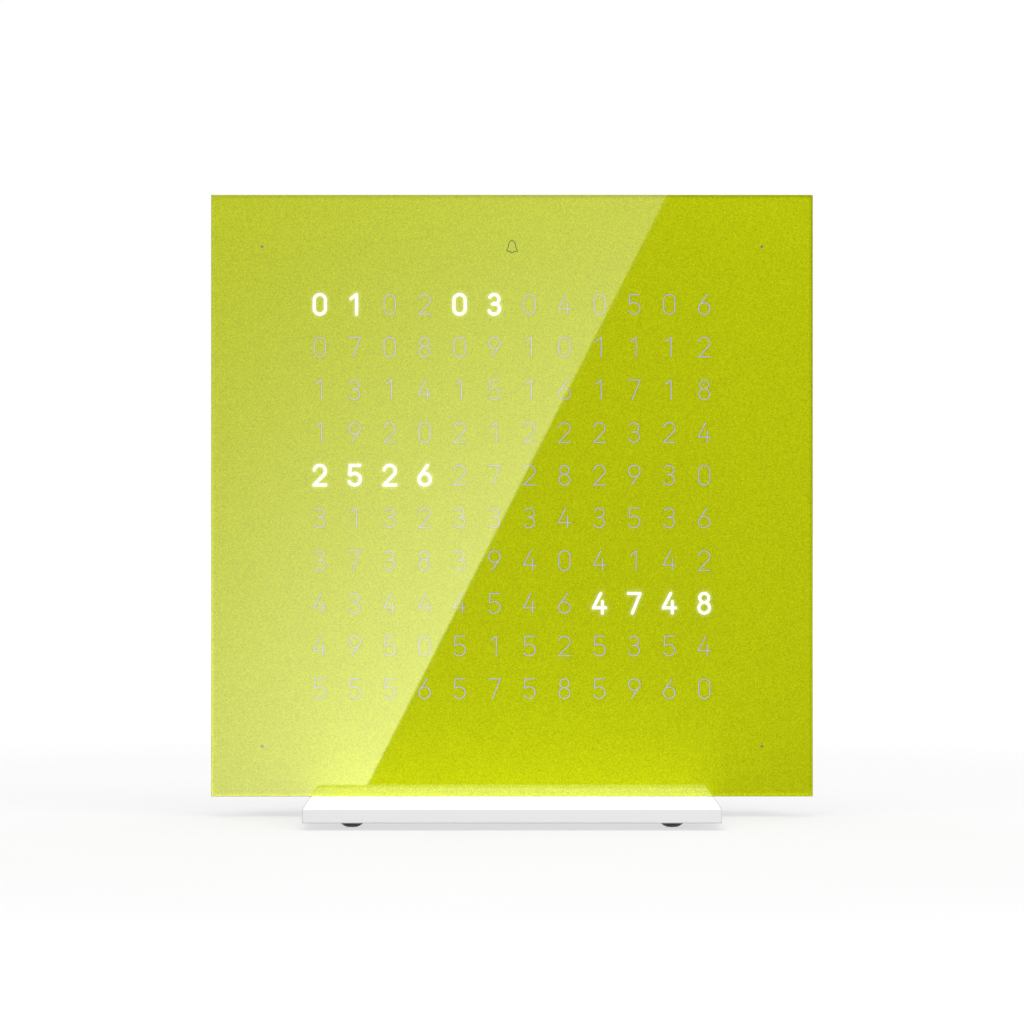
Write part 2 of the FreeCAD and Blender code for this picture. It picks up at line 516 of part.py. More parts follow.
screws = []
for sx in (-1, 1):
    x = sx * NECK_SCREW_X
    head = Part.makeCone(2.95, 1.5, HEAD - 0.2, V(x, NECK_Y, Z_PLATE + 0.05), V(0, 0, 1))
    shaft = cyl_z(x, NECK_Y, 1.5, Z_PLATE + 0.3, Z_HOUSING + 5.6)
    s = fuse([head, shaft])
    hexagon = Part.Face(Part.makePolygon([V(x + 1.15 * math.cos(math.radians(60 * i)), NECK_Y + 1.15 * math.sin(math.radians(60 * i)),
                                            Z_PLATE - 0.5) for i in range(7)]))
    s = s.cut(hexagon.extrude(V(0, 0, 1.6)))
    screws.append(s)
save("base_screws", group(screws))
save("threaded_inserts", group([cyl_z(sx * NECK_SCREW_X, NECK_Y, 2.1, Z_HOUSING + 0.2, Z_HOUSING + 5.7).cut(
    cyl_z(sx * NECK_SCREW_X, NECK_Y, 1.52, Z_HOUSING, Z_HOUSING + 6)) for sx in (-1, 1)]))

feet = []
zs = math.sqrt(FOOT_R ** 2 - FOOT_FLAT ** 2)          # dome's centre above the surface
top_r = math.sqrt(FOOT_R ** 2 - (zs - FOOT_H) ** 2)
mid_h = FOOT_H / 2
mid_r = math.sqrt(FOOT_R ** 2 - (zs - mid_h) ** 2)
for sx in (-1, 1):
    for sy in (-1, 1):
        p0, p1, p2, p3 = V(0, 0, 0), V(FOOT_FLAT, 0, 0), V(top_r, 0, FOOT_H), V(0, 0, FOOT_H)
        wire = Part.Wire([Part.LineSegment(p0, p1).toShape(), Part.Arc(p1, V(mid_r, 0, mid_h), p2).toShape(),
                          Part.LineSegment(p2, p3).toShape(), Part.LineSegment(p3, p0).toShape()])
        foot = Part.Face(wire).revolve(V(0, 0, 0), V(0, 0, 1), 360)
        foot.translate(V(sx * FOOT_X, sy * FOOT_Y, 0))
        feet.append(foot)
save("rubber_feet", group(feet))
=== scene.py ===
import math

import bpy
import numpy as np
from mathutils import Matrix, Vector, geometry


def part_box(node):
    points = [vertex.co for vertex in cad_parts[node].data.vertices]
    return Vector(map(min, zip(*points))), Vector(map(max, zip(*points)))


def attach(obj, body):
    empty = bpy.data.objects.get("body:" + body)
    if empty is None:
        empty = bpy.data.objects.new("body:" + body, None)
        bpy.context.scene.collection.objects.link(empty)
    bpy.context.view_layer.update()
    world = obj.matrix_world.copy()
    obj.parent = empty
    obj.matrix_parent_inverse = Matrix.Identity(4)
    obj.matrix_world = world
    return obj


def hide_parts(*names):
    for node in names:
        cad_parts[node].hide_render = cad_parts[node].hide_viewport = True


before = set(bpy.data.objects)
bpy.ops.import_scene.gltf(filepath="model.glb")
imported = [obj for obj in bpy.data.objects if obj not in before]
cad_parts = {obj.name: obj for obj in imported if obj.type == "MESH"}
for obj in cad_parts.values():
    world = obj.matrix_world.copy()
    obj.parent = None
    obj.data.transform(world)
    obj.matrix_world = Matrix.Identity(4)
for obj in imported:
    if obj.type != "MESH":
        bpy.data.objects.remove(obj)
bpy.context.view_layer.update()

MM = 0.001

# ---------------------------------------------------------------------------
# the numbers shared with the construction, in millimetres
# ---------------------------------------------------------------------------
COVER = 135.0
EDGE = 0.12
PITCH_X = 7.84
PITCH_Z = 9.58
GRID_DROP = 0.2
DIGIT_H = 4.77
STROKE = 0.36
LIT_STROKE = 0.6
CORE = 0.26           # light middle of an unlit stroke, inside the painted shade along the wall of its opening
WALL_SHADE_STROKE = 0.41
DOT_POS = 56.05
BELL_POS = 56.05
DOT_R = 0.34
BELL_STROKE = 0.21

p_lo, p_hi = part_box("cover_plate")
FACE_Y = p_lo[1] / MM
BACK_Y = p_hi[1] / MM
ZC = (p_lo[2] + p_hi[2]) / 2 / MM
ZG = ZC - GRID_DROP

LIT = {"01", "03", "25", "26", "47", "48"}


def srgb(r, g, b, a=1.0):
    def f(c):
        c /= 255.0
        return c / 12.92 if c <= 0.04045 else ((c + 0.055) / 1.055) ** 2.4
    return (f(r), f(g), f(b), a)


# ---------------------------------------------------------------------------
# materials
# ---------------------------------------------------------------------------
class Nodes:
    """Short hand for building a node material."""

    def __init__(self, name):
        self.mat = bpy.data.materials.new(name)
        self.mat.use_nodes = True
        self.t = self.mat.node_tree
        self.t.nodes.clear()
        self.out = self.t.nodes.new("ShaderNodeOutputMaterial")
        self.bsdf = self.t.nodes.new("ShaderNodeBsdfPrincipled")
        self.t.links.new(self.bsdf.outputs[0], self.out.inputs["Surface"])
        self.coord = self.t.nodes.new("ShaderNodeTexCoord").outputs["Object"]

    def set(self, **kw):
        for k, v in kw.items():
            self.bsdf.inputs[k.replace("_", " ")].default_value = v
        return self

    def link(self, a, b):
        self.t.links.new(a, b)

    def noise(self, scale, detail=2.0, rough=0.5, coord=None, w=None):
        n = self.t.nodes.new("ShaderNodeTexNoise")
        n.inputs["Scale"].default_value = scale
        n.inputs["Detail"].default_value = detail
        n.inputs["Roughness"].default_value = rough
        self.link(coord or self.coord, n.inputs["Vector"])
        return n.outputs["Fac"]

    def voronoi(self, scale, feature="F1", out="Distance", coord=None):
        n = self.t.nodes.new("ShaderNodeTexVoronoi")
        n.feature = feature
        n.inputs["Scale"].default_value = scale
        self.link(coord or self.coord, n.inputs["Vector"])
        return n.outputs[out]

    def ramp(self, fac, lo, hi, a, b):
        """Maps fac from lo..hi to a..b, clamped."""
        n = self.t.nodes.new("ShaderNodeMapRange")
        n.inputs["From Min"].default_value = lo
        n.inputs["From Max"].default_value = hi
        n.inputs["To Min"].default_value = a
        n.inputs["To Max"].default_value = b
        self.link(fac, n.inputs["Value"])
        return n.outputs["Result"]

    def math(self, op, a, b=0.0, c=0.0):
        n = self.t.nodes.new("ShaderNodeMath")
        n.operation = op
        for i, v in enumerate((a, b, c)):
            if isinstance(v, (int, float)):
                n.inputs[i].default_value = v
            else:
                self.link(v, n.inputs[i])
        return n.outputs[0]

    def mix(self, fac, a, b, mode="MIX"):
        n = self.t.nodes.new("ShaderNodeMix")
        n.data_type = "RGBA"
        n.blend_type = mode
        for k, v in (("Factor", fac), ("A", a), ("B", b)):
            s = [i for i in n.inputs if i.name == k and (i.type == "RGBA" or k == "Factor") and i.enabled][0]
            if isinstance(v, (int, float, tuple)):
                s.default_value = v
            else:
                self.link(v, s)
        return [o for o in n.outputs if o.type == "RGBA"][0]

    def bump(self, height, strength, distance):
        n = self.t.nodes.new("ShaderNodeBump")
        n.inputs["Strength"].default_value = strength
        n.inputs["Distance"].default_value = distance
        self.link(height, n.inputs["Height"])
        self.link(n.outputs[0], self.bsdf.inputs["Normal"])
        return n

    def attribute(self, name):
        n = self.t.nodes.new("ShaderNodeAttribute")
        n.attribute_name = name
        return n

    def color(self, socket):
        self.link(socket, self.bsdf.inputs["Base Color"])
        return self

    def rough(self, socket):
        self.link(socket, self.bsdf.inputs["Roughness"])
        return self


def plastic(name, rgb, rough=0.45, grain=900.0, depth=0.02, vary=0.04, spread=0.06):
    """Moulded plastic with a fine spark-eroded texture. grain is in cells per metre."""
    m = Nodes(name)
    m.set(IOR=1.5, Specular_IOR_Level=0.5)
    c = srgb(*rgb)
    dark = tuple(v * (1 - vary) for v in c[:3]) + (1.0,)
    light = tuple(min(1.0, v * (1 + vary)) for v in c[:3]) + (1.0,)
    m.color(m.mix(m.noise(60.0, 4.0, 0.6), dark, light))
    m.rough(m.ramp(m.noise(220.0, 3.0), 0.3, 0.7, rough - spread, rough + spread))
    m.bump(m.noise(grain, 3.0, 0.55), 0.35, depth * MM)
    return m.mat


def metal(name, rgb, rough=0.3, brushed=False, scale=400.0):
    m = Nodes(name)
    m.set(Metallic=1.0)
    c = srgb(*rgb)
    m.color(m.mix(m.noise(300.0, 3.0), tuple(v * 0.9 for v in c[:3]) + (1.0,), c))
    coord = m.coord
    if brushed:
        n = m.t.nodes.new("ShaderNodeMapping")
        n.inputs["Scale"].default_value = (1.0, 1.0, 22.0)
        m.link(m.coord, n.inputs["Vector"])
        coord = n.outputs[0]
    m.rough(m.ramp(m.noise(scale, 4.0, 0.6, coord), 0.3, 0.7, rough * 0.75, rough * 1.3))
    m.bump(m.noise(scale * 2, 3.0, 0.5, coord), 0.15, 0.01 * MM)
    return m.mat


def button(name, rgb, y_mark):
    """Grey moulded button whose raised mark is printed white."""
    m = Nodes(name)
    m.set(IOR=1.5, Specular_IOR_Level=0.5)
    c = srgb(*rgb)
    body = m.mix(m.noise(80.0, 4.0, 0.6), tuple(v * 0.95 for v in c[:3]) + (1.0,), tuple(v * 1.05 for v in c[:3]) + (1.0,))
    sep = m.t.nodes.new("ShaderNodeSeparateXYZ")
    m.link(m.coord, sep.inputs[0])
    m.color(m.mix(m.ramp(sep.outputs["Y"], (y_mark - 0.03) * MM, (y_mark + 0.03) * MM, 0.0, 1.0), body, srgb(240, 240, 238)))
    m.rough(m.ramp(m.noise(220.0, 3.0), 0.3, 0.7, 0.38, 0.5))
    m.bump(m.noise(2200.0, 3.0, 0.55), 0.3, 0.012 * MM)
    return m.mat


def powder_coat(name, rgb):
    """White powder coat: satin, with the faint orange peel of a sprayed finish."""
    m = Nodes(name)
    m.set(IOR=1.5, Specular_IOR_Level=0.25)
    c = srgb(*rgb)
    m.color(m.mix(m.noise(40.0, 3.0), tuple(v * 0.985 for v in c[:3]) + (1.0,), c))
    m.rough(m.ramp(m.noise(500.0, 2.0), 0.3, 0.7, 0.46, 0.56))
    peel = m.math("ADD", m.noise(700.0, 2.0, 0.5), m.math("MULTIPLY", m.noise(2600.0, 2.0, 0.5), 0.35))
    m.bump(peel, 0.25, 0.02 * MM)
    return m.mat


def plate_coat_painted_edge_shade(name, rgb, lo, hi):
    """The same coat on the base plate, with painted shade along the plate's edges: darker near its sides, its underside
    and its front and back faces.
    """
    mat = powder_coat(name, rgb)
    t = mat.node_tree
    bsdf = t.nodes["Principled BSDF"]
    body = bsdf.inputs["Base Color"].links[0].from_socket
    sep = t.nodes.new("ShaderNodeSeparateXYZ")
    t.links.new(t.nodes["Texture Coordinate"].outputs["Object"], sep.inputs[0])

    def node(op, a, b):
        n = t.nodes.new("ShaderNodeMath")
        n.operation = op
        for i, q in enumerate((a, b)):
            if isinstance(q, (int, float)):
                n.inputs[i].default_value = q
            else:
                t.links.new(q, n.inputs[i])
        return n.outputs[0]

    def near(distance_, reach, depth):
        n = t.nodes.new("ShaderNodeMapRange")
        n.interpolation_type = "SMOOTHSTEP"
        n.inputs["From Min"].default_value, n.inputs["From Max"].default_value = 0.0, reach * MM
        n.inputs["To Min"].default_value, n.inputs["To Max"].default_value = 1.0 - depth, 1.0
        t.links.new(distance_, n.inputs["Value"])
        return n.outputs["Result"]

    # painted shade near the plate's sides and near its underside
    side = near(node("SUBTRACT", hi[0], node("ABSOLUTE", sep.outputs["X"], 0.0)), 0.42, 0.17)
    underside_shade = near(node("SUBTRACT", sep.outputs["Z"], lo[2]), 0.4, 0.24)
    # a painted dark hairline along the upper side edges
    inner = near(node("SUBTRACT", hi[0], node("ABSOLUTE", sep.outputs["X"], 0.0)), 0.42, 1.0)
    lower = near(node("SUBTRACT", hi[2], sep.outputs["Z"]), 0.1, 1.0)
    painted_dark_hairline = node("MULTIPLY", node("MULTIPLY", node("SUBTRACT", 1.0, inner), node("SUBTRACT", 1.0, lower)), 0.68)
    side = node("MULTIPLY", side, node("SUBTRACT", 1.0, painted_dark_hairline))
    mul = t.nodes.new("ShaderNodeMix")
    mul.data_type, mul.blend_type = "RGBA", "MULTIPLY"
    col = [i for i in mul.inputs if i.type == "RGBA"]
    mul.inputs[0].default_value = 1.0
    t.links.new(body, col[0])
    # painted shade near the front and back faces; all of it multiplies the coat's colour
    front = near(node("SUBTRACT", hi[1], node("ABSOLUTE", sep.outputs["Y"], 0.0)), 0.1, 0.045)
    t.links.new(node("MULTIPLY", front, node("MULTIPLY", side, underside_shade)), col[1])
    t.links.new([o for o in mul.outputs if o.type == "RGBA"][0], bsdf.inputs["Base Color"])
    return mat


def lime(name):
    """Lime colour under polished acrylic, with the fine grain of the print, painted light and shade near the edges and
    above the white base, and a painted glow round lit digits.
    """
    m = Nodes(name)
    m.set(IOR=1.49, Specular_IOR_Level=0.5, Specular_Tint=(1.0, 1.0, 0.69, 1.0), Roughness=0.012)
    cell = m.t.nodes.new("ShaderNodeTexVoronoi")
    cell.feature = "F1"
    cell.inputs["Scale"].default_value = 9000.0
    m.link(m.coord, cell.inputs["Vector"])
    sep = m.t.nodes.new("ShaderNodeSeparateColor")
    m.link(cell.outputs["Color"], sep.inputs[0])
    grain = m.math("ADD", m.math("MULTIPLY", m.math("SUBTRACT", sep.outputs[0], 0.5), 0.63),
                   m.math("MULTIPLY", m.math("SUBTRACT", m.noise(1500.0, 2.0, 0.6), 0.5), 0.06))
    # painted light and shade near the edges and above the white base multiply the colour
    value = m.math("MULTIPLY", m.math("ADD", grain, 1.0), m.attribute("painted_light_and_shade").outputs["Fac"])
    hsv = m.t.nodes.new("ShaderNodeHueSaturation")
    hsv.inputs["Color"].default_value = (0.459, 0.519, 0.0045, 1.0)
    m.link(value, hsv.inputs["Value"])
    m.color(hsv.outputs[0])
    m.bsdf.inputs["Emission Color"].default_value = (1.0, 1.0, 0.9, 1.0)
    m.link(m.attribute("glow").outputs["Fac"], m.bsdf.inputs["Emission Strength"])
    return m.mat


def polished_edge(name):
    """Edge of the acrylic plate: clear and polished, with painted light along it, lighter near the front and darker
    towards the back, and the painted light and shade of each chamfer.
    """
    m = Nodes(name)
    m.set(IOR=1.49, Specular_IOR_Level=0.5, Specular_Tint=(1.0, 1.0, 0.69, 1.0))
    sep = m.t.nodes.new("ShaderNodeSeparateXYZ")
    m.link(m.coord, sep.inputs[0])
    # painted light: the edge is lighter near the front and darker towards the back
    ramp = m.t.nodes.new("ShaderNodeValToRGB")
    m.link(m.ramp(sep.outputs["Y"], FACE_Y * MM, BACK_Y * MM, 0.0, 1.0), ramp.inputs[0])
    stops = ((0.0, 1.0), (EDGE / 3.0, 1.0), (0.06, 1.24), (0.45, 1.08), (0.84, 0.94), (0.93, 0.6), (1.0, 0.52))
    r = ramp.color_ramp
    for i, (at, v) in enumerate(stops):
        e = r.elements[i] if i < 2 else r.elements.new(at)
        e.position = at
        e.color = (v * 0.5, v * 0.5, v * 0.5, 1.0)
    painted_light_band = m.math("MULTIPLY", ramp.outputs[0], 2.0)
    streak = m.ramp(m.noise(900.0, 2.0), 0.3, 0.7, 0.97, 1.03)
    # the painted light and shade of the chamfers multiply it too
    value = m.math("MULTIPLY", m.math("MULTIPLY", painted_light_band, streak), m.attribute("painted_light_and_shade").outputs["Fac"])
    hsv = m.t.nodes.new("ShaderNodeHueSaturation")
    hsv.inputs["Color"].default_value = (0.459, 0.519, 0.0045, 1.0)
    m.link(value, hsv.inputs["Value"])
    m.color(hsv.outputs[0])
    m.rough(m.ramp(m.noise(700.0, 3.0), 0.3, 0.7, 0.1, 0.18))
    return m.mat


def window(name, rgb, emit=0.0, tint=(1, 1, 1)):
    m = Nodes(name)
    m.set(IOR=1.49, Specular_IOR_Level=0.5, Specular_Tint=(1.0, 1.0, 0.69, 1.0), Roughness=0.012)
    c = srgb(*rgb)
    m.color(m.mix(m.noise(2500.0, 2.0), tuple(v * 0.93 for v in c[:3]) + (1.0,), c))
    if emit:
        m.bsdf.inputs["Emission Color"].default_value = tuple(tint) + (1.0,)
        m.bsdf.inputs["Emission Strength"].default_value = emit
    return m.mat


# ---------------------------------------------------------------------------
# digits: strokes with round ends, about their own middle (X, Z)
# ---------------------------------------------------------------------------
H2 = 2.45
DIGITS = {
    "0": [("A", 0, H2 - 1.4, 1.4, 0, 180), ("A", 0, 1.4 - H2, 1.4, 180, 360),
          ("L", -1.4, 1.4 - H2, -1.4, H2 - 1.4), ("L", 1.4, 1.4 - H2, 1.4, H2 - 1.4)],
    "1": [("L", 0.45, -H2, 0.45, H2), ("L", 0.45, H2, -0.95, H2 - 1.05)],
    "2": [("A", 0, H2 - 1.4, 1.4, -38, 170), ("L", 1.103, H2 - 2.262, -1.45, -H2), ("L", -1.45, -H2, 1.5, -H2)],
    "3": [("A", -0.1, H2 - 1.2, 1.2, -90, 155), ("A", -0.1, 1.35 - H2, 1.35, -160, 90),
          ("L", -0.1, H2 - 2.4, -0.5, H2 - 2.4)],
    "4": [("L", 0.35, H2, -1.5, -1.15), ("L", -1.5, -1.15, 1.55, -1.15), ("L", 0.75, 0.45, 0.75, -H2)],
    "5": [("L", 1.25, H2, -1.1, H2), ("L", -1.1, H2, -1.27, 0.2), ("A", -0.05, 1.45 - H2, 1.45, -155, 132)],
    "6": [("A", 0, 1.42 - H2, 1.42, 0, 360), ("L", -1.28, 2.03 - H2, 0.7, H2)],
    "7": [("L", -1.45, H2, 1.45, H2), ("L", 1.45, H2, -0.5, -H2)],
    "8": [("A", 0, H2 - 1.12, 1.12, 0, 360), ("A", 0, 1.33 - H2, 1.33, 0, 360)],
    "9": [("A", 0, H2 - 1.42, 1.42, 0, 360), ("L", 1.28, H2 - 2.03, -0.7, -H2)],
}
BELL = [t for k in (-1, 1) for t in (
    ("L", 0, 1.3, k * 0.5, 0.88), ("L", k * 0.5, 0.88, k * 0.76, 0.4), ("L", k * 0.76, 0.4, k * 0.82, -0.25),
    ("L", k * 0.82, -0.25, k * 1.2, -1.04), ("L", k * 1.2, -1.04, k * 1.08, -1.26), ("L", k * 1.08, -1.26, k * 0.4, -1.26))]
BELL += [("A", 0, -1.19, 0.4, 190, 350)]


def scaled(strokes):
    """A digit at its final size."""
    k = (DIGIT_H - STROKE) / 2 / H2
    return [("L", *(v * k for v in t[1:])) if t[0] == "L" else ("A", *(v * k for v in t[1:4]), *t[4:]) for t in strokes]


def line_of(s, step=7.0):
    """The centre line of a stroke as points, and whether it closes."""
    if s[0] == "L":
        return np.array([[s[1], s[2]], [s[3], s[4]]], float), False
    cx, cz, r, a0, a1 = s[1:]
    n = max(4, int(math.ceil(abs(a1 - a0) / step)))
    a = np.radians(np.linspace(a0, a1, n + 1))
    pts = np.stack([cx + r * np.cos(a), cz + r * np.sin(a)], 1)
    closed = abs(a1 - a0) >= 359.9
    return (pts[:-1] if closed else pts), closed


def outline(s, w, caps=8):
    """Polygons of a stroke of width w: one loop with round ends, or an outer and an inner loop."""
    h = w / 2
    pts, closed = line_of(s)
    if closed:
        c = np.array([s[1], s[2]])
        d = (pts - c) / s[3]
        return [c + d * (s[3] + h), c + d * (s[3] - h)], True
    t = np.gradient(pts, axis=0)
    t /= np.linalg.norm(t, axis=1)[:, None]
    n = np.stack([-t[:, 1], t[:, 0]], 1)
    left, right = pts + n * h, pts - n * h

    def cap(p, direction):
        a0 = math.atan2(direction[1], direction[0])
        a = a0 + np.linspace(math.pi / 2, -math.pi / 2, caps + 1)[1:-1]
        return p + h * np.stack([np.cos(a), np.sin(a)], 1)

    loop = np.concatenate([left, cap(pts[-1], t[-1]), right[::-1], cap(pts[0], -t[0])])
    return [loop], False


def distance(points, strokes_at):
    """Distance of each point from the nearest of several placed centre lines."""
    best = np.full(len(points), 1e9)
    for s, x, z in strokes_at:
        pts, closed = line_of(s, 12.0)
        pts = pts + (x, z)
        ends = np.roll(pts, -1, axis=0) if closed else pts[1:]
        for a, b in zip(pts if closed else pts[:-1], ends):
            ab = b - a
            t = np.clip(((points - a) @ ab) / max(ab @ ab, 1e-12), 0, 1)
            best = np.minimum(best, np.linalg.norm(points - (a + t[:, None] * ab), axis=1))
    return best


def glyphs():
    """Every sign on the face: (strokes, width, x, z, kind), relative to the middle of the face."""
    for row in range(10):
        for k in range(6):
            text = "%02d" % (row * 6 + k + 1)
            for j in (0, 1):
                lit = text in LIT
                strokes = scaled(DIGITS[text[j]])
                x, z = (2 * k + j - 5.5) * PITCH_X, (4.5 - row) * PITCH_Z - GRID_DROP
                if lit:
                    yield strokes, LIT_STROKE, x, z, "lit"
                else:
                    # a darker ring round each unlit stroke: painted shade for the cut wall of its opening
                    yield strokes, WALL_SHADE_STROKE, x, z, "painted_wall_shade"
                    yield strokes, CORE, x, z, "unlit"
    yield BELL, BELL_STROKE, 0.0, BELL_POS, "bell"


EDGE_PAINTED_LIGHT_AT = (EDGE, 0.45, 0.7, 1.0, 3.0, 6.0, 10.0, 14.0, 20.0, 28.0)      # distance from the outer edge, mm
# painted light and shade near each edge of the face, as factors on the colour
EDGE_PAINTED_LIGHT = {"top": (0.72, 0.84, 0.96, 1.025, 1.025, 1.022, 1.012, 1.0, 1.0, 1.0),
       "bottom": (1.31, 1.2, 1.05, 1.01, 1.0, 1.0, 1.0, 1.0, 1.0, 1.0),
       "left": (1.14, 1.1, 1.03, 1.0, 1.0, 1.0, 1.0, 1.0, 1.0, 1.0),
       "right": (0.76, 0.86, 0.98, 1.02, 1.022, 1.022, 1.022, 1.022, 1.014, 1.0)}
BOUNCE_PAINTED_GAIN = (1.058, 1.058, 1.058, 1.058, 1.058, 1.044, 1.028, 1.014, 1.004, 1.0)      # painted bounce light from the white base, above the base only
BOUNCE_PAINTED_HALF = (40.0, 48.0)
CHAMFER_PAINTED_LIGHT = {"top": (0.58, 0.6), "bottom": (0.96, 1.2), "left": (1.02, 1.02), "right": (0.83, 0.83)}      # painted light and shade on each chamfer, at its two ends
BOTTOM_X, BOTTOM_PAINTED_GAIN = (-48.0, -44.0, 44.0, 48.0), (1.0, 0.6, 0.6, 1.6)      # the bottom's painted edge light, weaker above the base, stronger at the right


def painted_light_and_shade(x, z):
    """Painted light and shade: how much lighter or darker the colour is painted near the edge, lighter above the white
    base as its bounce light, and a little darker beside it.
    """
    v = 1.0
    for side, d in (("top", COVER / 2 - z), ("bottom", COVER / 2 + z), ("left", COVER / 2 + x), ("right", COVER / 2 - x)):
        g = np.interp(d, EDGE_PAINTED_LIGHT_AT, EDGE_PAINTED_LIGHT[side])
        v = v * (1 + (g - 1) * np.interp(x, BOTTOM_X, BOTTOM_PAINTED_GAIN) if side == "bottom" else g)
    # painted bounce light from the white base: lighter above it, a little darker beside it
    painted_bounce_over_base = np.interp(np.abs(x), BOUNCE_PAINTED_HALF, (1.0, -0.25))
    return v * (1 + (np.interp(COVER / 2 + z, EDGE_PAINTED_LIGHT_AT, BOUNCE_PAINTED_GAIN) - 1) * painted_bounce_over_base)


def artwork(half):
    """The flat face as triangles: 0 lime, 1 painted shade along an opening's wall, 2 unlit, 3 lit, 4 bell, 7 dot; and
    the glow at each point.
    """
    verts = [(-half, -half), (half, -half), (half, half), (-half, half)]
    faces = [[0, 1, 2, 3]]
    kind_of = [None]
    lit_strokes = []

    def add(loop, kind):
        # every loop runs the same way round, because the triangulation reads its inside from that
        q = np.roll(loop, -1, axis=0)
        if (loop[:, 0] * q[:, 1] - q[:, 0] * loop[:, 1]).sum() < 0:
            loop = loop[::-1]
        n = len(verts)
        verts.extend((float(a), float(b)) for a, b in loop)
        faces.append(list(range(n, n + len(loop))))
        kind_of.append(kind)

    for strokes, w, x, z, kind in glyphs():
        for s in strokes:
            loops, ring = outline(s, w)
            if ring:
                # a ring is made of segments, so that its middle stays open
                o, i = loops
                m = len(o)
                for q in range(0, m):
                    r = (q + 1) % m
                    add(np.array([o[q], o[r], i[r], i[q]]) + (x, z), kind)
            else:
                add(loops[0] + (x, z), kind)
            if kind == "lit":
                lit_strokes.append((s, x, z))
    for sx in (-1, 1):
        for sz in (-1, 1):
            a = np.radians(np.arange(0, 360, 15))
            add(np.stack([sx * DOT_POS + DOT_R * np.cos(a), sz * DOT_POS - GRID_DROP + DOT_R * np.sin(a)], 1), "dot")
    # points along the four borders, where light and shade are painted into the colour near the edge
    for d in EDGE_PAINTED_LIGHT_AT[1:]:
        r = half + EDGE - d
        for q in np.linspace(-r, r, 61):
            verts.extend([(float(q), r), (float(q), -r), (r, float(q)), (-r, float(q))])
    # more points round the lit digits, for their glow
    step = 0.24
    seen = []
    for strokes, w, x, z, kind in glyphs():
        if kind != "lit":
            continue
        gx = np.arange(x - 3.9, x + 3.9, step)
        gz = np.arange(z - 4.75, z + 4.75, step)
        g = np.array([(a + (step / 2 if j % 2 else 0), b) for j, b in enumerate(gz) for a in gx])
        d = distance(g, [(s, x, z) for s in strokes])
        seen.append(g[(d > LIT_STROKE / 2 + 0.09) & (d < LIT_STROKE / 2 + 2.0)])
    pts = np.concatenate(seen)
    key = np.round(pts / 0.1).astype(int)
    _, first = np.unique(key, axis=0, return_index=True)
    verts.extend((float(a), float(b)) for a, b in pts[np.sort(first)])
    ov, _, of, _, _, orig = geometry.delaunay_2d_cdt([Vector(v) for v in verts], [], faces, 1, 1e-5, True)
    ov = np.array([tuple(v) for v in ov])
    rank = {"painted_wall_shade": 1, "unlit": 2, "lit": 3, "bell": 4, "dot": 7}
    tris, mats = [], []
    for f, o in zip(of, orig):
        tris.append(list(f))
        mats.append(max([rank[kind_of[i]] for i in o if i > 0] or [0]) if len(o) else 0)
    d = distance(ov, lit_strokes) - LIT_STROKE / 2
    d = np.maximum(d, 0.0)
    glow = 0.22 * np.exp(-d / 0.25)
    glow[d > 1.9] = 0.0
    return ov, tris, mats, glow


def mesh_object(name, verts, faces, mats=(), indices=None, smooth=False):
    me = bpy.data.meshes.new(name)
    me.from_pydata([tuple(v) for v in verts], [], [tuple(f) for f in faces])
    for m in mats:
        me.materials.append(m)
    if indices is not None:
        me.polygons.foreach_set("material_index", np.array(indices, np.int32))
    me.polygons.foreach_set("use_smooth", np.full(len(me.polygons), smooth))
    me.update()
    o = bpy.data.objects.new(name, me)
    bpy.context.scene.collection.objects.link(o)
    return o


M_LIME = lime("lime_acrylic")
M_EDGE = polished_edge("lime_acrylic_edge")
# painted shade: darker lime for the shaded cut wall round each unlit opening
M_WALL_SHADE = window("opening_wall_painted_shade", (138, 144, 8))
M_UNLIT = window("unlit_window", (199, 197, 187))
M_LIT = window("lit_window", (250, 250, 246), emit=0.4, tint=(1.0, 1.0, 0.98))
M_SIGN = window("sign_window", (82, 88, 52))
M_DOT = window("dot_window", (129, 137, 98))
M_COVER_BACK = plastic("cover_backing", (232, 233, 228), rough=0.4, vary=0.02)


